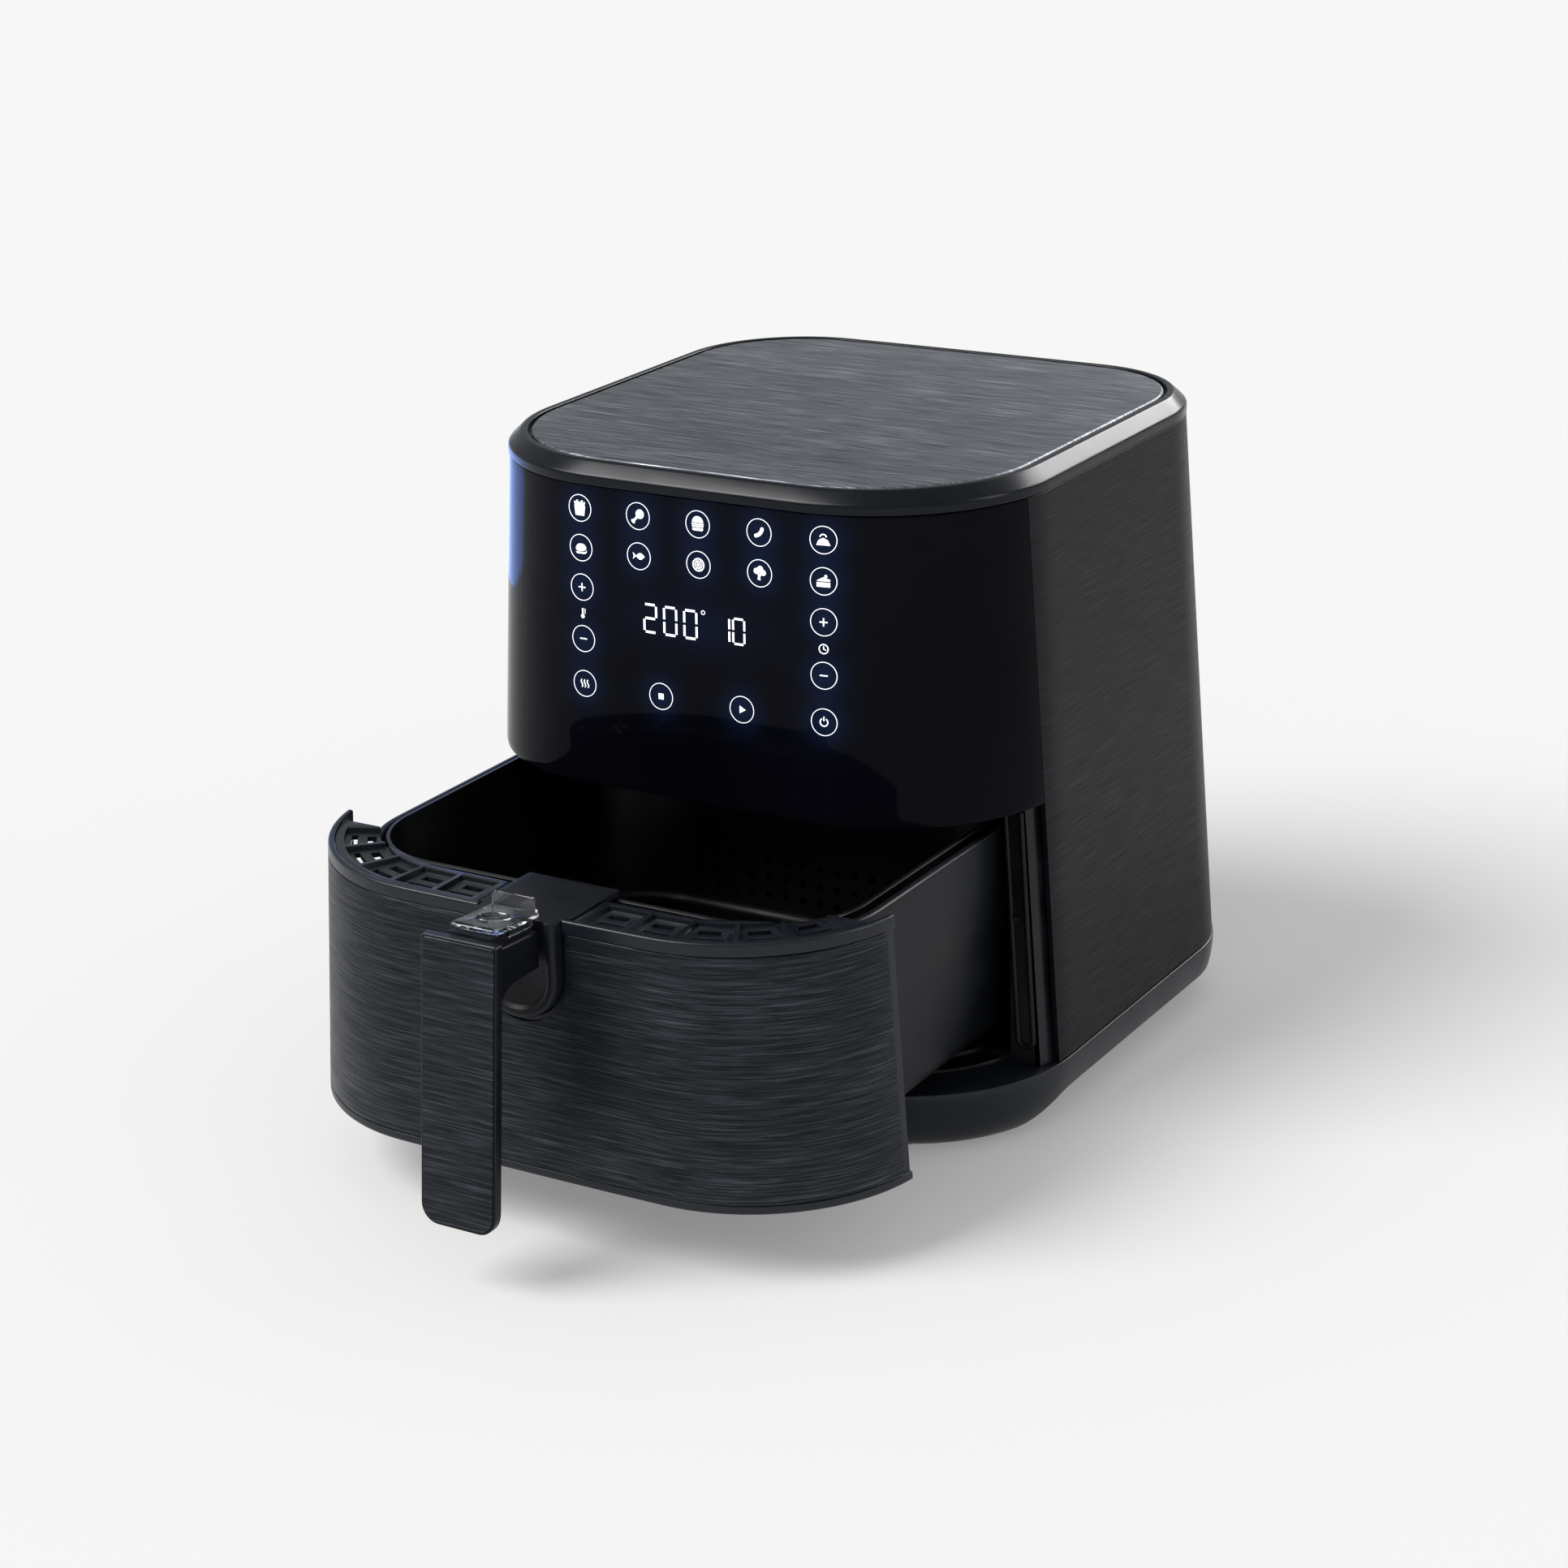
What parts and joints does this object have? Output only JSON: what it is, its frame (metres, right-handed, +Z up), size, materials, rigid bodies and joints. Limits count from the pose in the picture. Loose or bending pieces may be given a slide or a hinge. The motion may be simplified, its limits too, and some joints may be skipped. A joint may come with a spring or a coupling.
{
  "type": "air fryer",
  "caption": "Drawer-style air fryer with a leaning rounded housing, touch panel, pull-out pan and lift-out perforated basket on a handle with a guarded release button.",
  "frame": {"origin": "middle of the whole object's footprint box on the floor, with the drawer open as stored", "axes": "+Z up; the front, with the handle, faces -Y and the drawer pulls out along -Y; +X is to the right of someone facing the front"},
  "size_m": [0.3124, 0.5034, 0.32],
  "materials": {
    "satin_plastic": "satin moulded, dark blue-black",
    "rubber_pad": "matte",
    "silicone_pad": "matte silicone",
    "wrap_finish": "moulded with a fine horizontal brushed texture, dark blue-black",
    "brushed_skin": "black-tinted, fine horizontal brushing",
    "gloss_panel": "high gloss black, with white lit touch symbols",
    "display_glass": "smoked display window",
    "circuit_board": "solder-masked board",
    "nonstick_coating": "satin non-stick coating",
    "liner_steel": "dark coated sheet steel",
    "bright_steel": "plain zinc-plated or stainless steel",
    "heater_sheath": "heat-darkened element sheath",
    "clear_guard": "clear moulded plastic"
  },
  "bodies": {
    "housing": {"base_tray": "satin_plastic", "bottom_plate": "satin_plastic", "rear_vent_panel": "satin_plastic", "front_frame": "satin_plastic", "top_ring": "satin_plastic", "drawer_switch": "satin_plastic", "terminal_block": "satin_plastic", "thermal_cutout": "satin_plastic", "foot_1": "rubber_pad", "foot_2": "rubber_pad", "foot_3": "rubber_pad", "foot_4": "rubber_pad", "cord_gland": "rubber_pad", "side_wrap": "wrap_finish", "top_plate": "brushed_skin", "front_panel": "gloss_panel", "display_module": "display_glass", "control_board": "circuit_board", "power_board": "circuit_board", "cavity_liner": "liner_steel", "runner_left": "liner_steel", "runner_right": "liner_steel", "motor_body": "liner_steel", "heat_dome": "bright_steel", "heater_guard": "bright_steel", "temperature_sensor": "bright_steel", "motor_bracket": "bright_steel", "heat_sink": "bright_steel", "base_screw_1": "bright_steel", "base_screw_2": "bright_steel", "base_screw_3": "bright_steel", "base_screw_4": "bright_steel", "heater_coil": "heater_sheath"},
    "drawer": {"pan": "nonstick_coating", "drawer_front": "satin_plastic", "front_skin": "brushed_skin", "pan_screw_left": "bright_steel", "pan_screw_right": "bright_steel", "grille_left": "satin_plastic", "grille_right": "satin_plastic", "latch_catch": "satin_plastic"},
    "basket": {"basket": "nonstick_coating", "basket_bumper_1": "silicone_pad", "basket_bumper_2": "silicone_pad", "basket_bumper_3": "silicone_pad", "basket_bumper_4": "silicone_pad", "handle_grip": "satin_plastic", "handle_skin": "brushed_skin", "handle_bracket": "satin_plastic", "handle_screw_left": "bright_steel", "handle_screw_right": "bright_steel", "latch_pin": "bright_steel"},
    "release_button": {"release_button": "satin_plastic", "release_spring": "bright_steel"},
    "button_guard": {"button_guard": "clear_guard"},
    "latch_lever": {"latch_lever": "satin_plastic"},
    "rotor": {"motor_shaft": "bright_steel", "convection_fan": "bright_steel", "cooling_fan": "satin_plastic"}
  },
  "joints": [
    {"name": "drawer_slide", "type": "slide", "parent": "housing", "child": "drawer", "axis": [0, -1, 0], "range_m": [-0.144, 0.135]},
    {"name": "basket_lift", "type": "slide", "parent": "drawer", "child": "basket", "axis": [0, 0, 1], "range_m": [0, 0.003]},
    {"name": "button_press", "type": "slide", "parent": "basket", "child": "release_button", "axis": [0, 0, -1], "range_m": [0, 0.003], "stiffness_N_per_m": 900, "springref_m": -0.001, "deforming": ["release_spring"]},
    {"name": "guard_slide", "type": "slide", "parent": "basket", "child": "button_guard", "axis": [0, -0.9974, 0.0718], "range_m": [0, 0.009]},
    {"name": "latch_swing", "type": "hinge", "parent": "basket", "child": "latch_lever", "pos_m": [0, -0.1917, 0.1415], "axis": [1, 0, 0], "range_deg": [0, 9.3]},
    {"name": "fan_spin", "type": "hinge", "parent": "housing", "child": "rotor", "pos_m": [0, 0.1194, 0.2], "axis": [0, 0, 1], "continuous": true}
  ],
  "couplings": [
    {"joint": "latch_swing", "follows": "button_press", "rad_per_m": 54.05}
  ]
}
